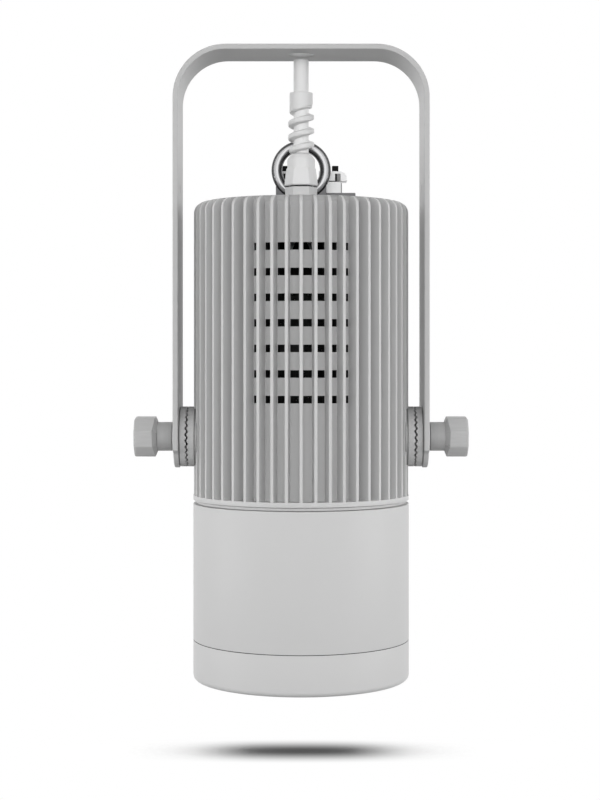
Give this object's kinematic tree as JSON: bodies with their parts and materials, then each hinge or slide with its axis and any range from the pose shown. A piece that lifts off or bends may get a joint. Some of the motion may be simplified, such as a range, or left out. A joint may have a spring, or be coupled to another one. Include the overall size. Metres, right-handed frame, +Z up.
{
  "type": "led wash light",
  "caption": "Finned cylindrical LED wash light that tilts in a strap yoke on toothed discs, with hand knobs, a cable gland, a safety eye and capped data sockets.",
  "frame": {"origin": "centre of the clamp hole in the yoke's outer top face", "axes": "+Z up, out of the yoke's top face; +X along the tilt axis to the picture's right; -Y to the front. The head is stored aimed straight down."},
  "size_m": [0.1854, 0.12, 0.3501],
  "materials": {
    "yoke_paint": "satin light grey powder coat over steel strip",
    "casting_paint": "satin light grey powder coat over aluminium",
    "sink_paint": "satin light grey powder coat over finned aluminium",
    "knob_finish": "moulded light grey",
    "gland_plastic": "moulded light grey",
    "cable_sheath": "smooth light grey sheath",
    "white_plastic": "moulded white",
    "black_plastic": "matte black",
    "dark_metal": "dark grey coating",
    "polished_steel": "polished",
    "plain_steel": "zinc plated",
    "bare_aluminium": "bare",
    "black_rubber": "matte",
    "clear_glass": "clear",
    "circuit_board": "solder-masked laminate",
    "copper_brown": "taped winding"
  },
  "bodies": {
    "yoke": {"yoke": "yoke_paint", "left_yoke_disc": "yoke_paint", "right_yoke_disc": "yoke_paint"},
    "head": {"left_head_disc": "casting_paint", "right_head_disc": "casting_paint", "left_stud": "plain_steel", "right_stud": "plain_steel", "heatsink": "sink_paint", "lower_housing": "casting_paint", "bezel": "casting_paint", "top_cover": "sink_paint", "housing_seal": "black_rubber", "window": "clear_glass", "window_gasket": "black_rubber", "baffle_tube": "black_plastic", "heat_spreader": "bare_aluminium", "led_board": "circuit_board", "optic_array": "clear_glass", "optic_holder": "black_plastic", "fan_frame": "black_plastic", "chassis": "bare_aluminium", "power_board": "circuit_board", "control_board": "circuit_board", "transformer": "copper_brown", "capacitor": "black_plastic", "terminal_block": "black_plastic", "gland_body": "gland_plastic", "gland_nut": "gland_plastic", "gland_locknut": "plain_steel", "gland_seal": "black_rubber", "supply_cable": "cable_sheath", "inner_cable": "cable_sheath", "spiral_guard": "gland_plastic", "eye_base": "dark_metal", "safety_eye": "polished_steel", "socket_rail": "dark_metal", "left_socket": "white_plastic", "right_socket": "white_plastic", "left_cap_pin": "plain_steel", "right_cap_pin": "plain_steel", "cover_screw_1": "plain_steel", "cover_screw_2": "plain_steel", "cover_screw_3": "plain_steel", "cover_screw_4": "plain_steel", "eye_screw_1": "plain_steel", "eye_screw_2": "plain_steel", "rail_screw_1": "plain_steel", "rail_screw_2": "plain_steel", "housing_screw_1": "plain_steel", "housing_screw_2": "plain_steel", "housing_screw_3": "plain_steel"},
    "left_washer": {"left_washer": "plain_steel"},
    "right_washer": {"right_washer": "plain_steel"},
    "left_knob": {"left_knob": "knob_finish"},
    "right_knob": {"right_knob": "knob_finish"},
    "fan_rotor": {"fan_rotor": "black_plastic"},
    "left_cap": {"left_cap": "white_plastic", "left_cap_tab": "black_plastic"},
    "right_cap": {"right_cap": "white_plastic", "right_cap_tab": "black_plastic"}
  },
  "joints": [
    {"name": "head_tilt", "type": "hinge", "parent": "yoke", "child": "head", "pos_m": [0, 0, -0.2156], "axis": [1, 0, 0], "range_deg": [-120, 120]},
    {"name": "left_knob_travel", "type": "slide", "parent": "head", "child": "left_washer", "axis": [-1, 0, 0], "range_m": [0, 0.0025]},
    {"name": "left_knob_turn", "type": "hinge", "parent": "left_washer", "child": "left_knob", "pos_m": [-0.0717, 0, -0.2156], "axis": [-1, 0, 0], "range_deg": [0, 720]},
    {"name": "right_knob_travel", "type": "slide", "parent": "head", "child": "right_washer", "axis": [1, 0, 0], "range_m": [0, 0.0025]},
    {"name": "right_knob_turn", "type": "hinge", "parent": "right_washer", "child": "right_knob", "pos_m": [0.0717, 0, -0.2156], "axis": [1, 0, 0], "range_deg": [0, 720]},
    {"name": "fan_spin", "type": "hinge", "parent": "head", "child": "fan_rotor", "pos_m": [0, 0, -0.2286], "axis": [0, 0, 1], "continuous": true},
    {"name": "left_cap_hinge", "type": "hinge", "parent": "head", "child": "left_cap", "pos_m": [-0.0061, 0.0382, -0.0692], "axis": [-1, 0, 0], "range_deg": [0, 100]},
    {"name": "right_cap_hinge", "type": "hinge", "parent": "head", "child": "right_cap", "pos_m": [0.0166, 0.0382, -0.0692], "axis": [-1, 0, 0], "range_deg": [0, 100]}
  ],
  "couplings": [
    {"joint": "left_knob_turn", "follows": "left_knob_travel", "rad_per_m": 5026.5},
    {"joint": "right_knob_turn", "follows": "right_knob_travel", "rad_per_m": 5026.5}
  ]
}
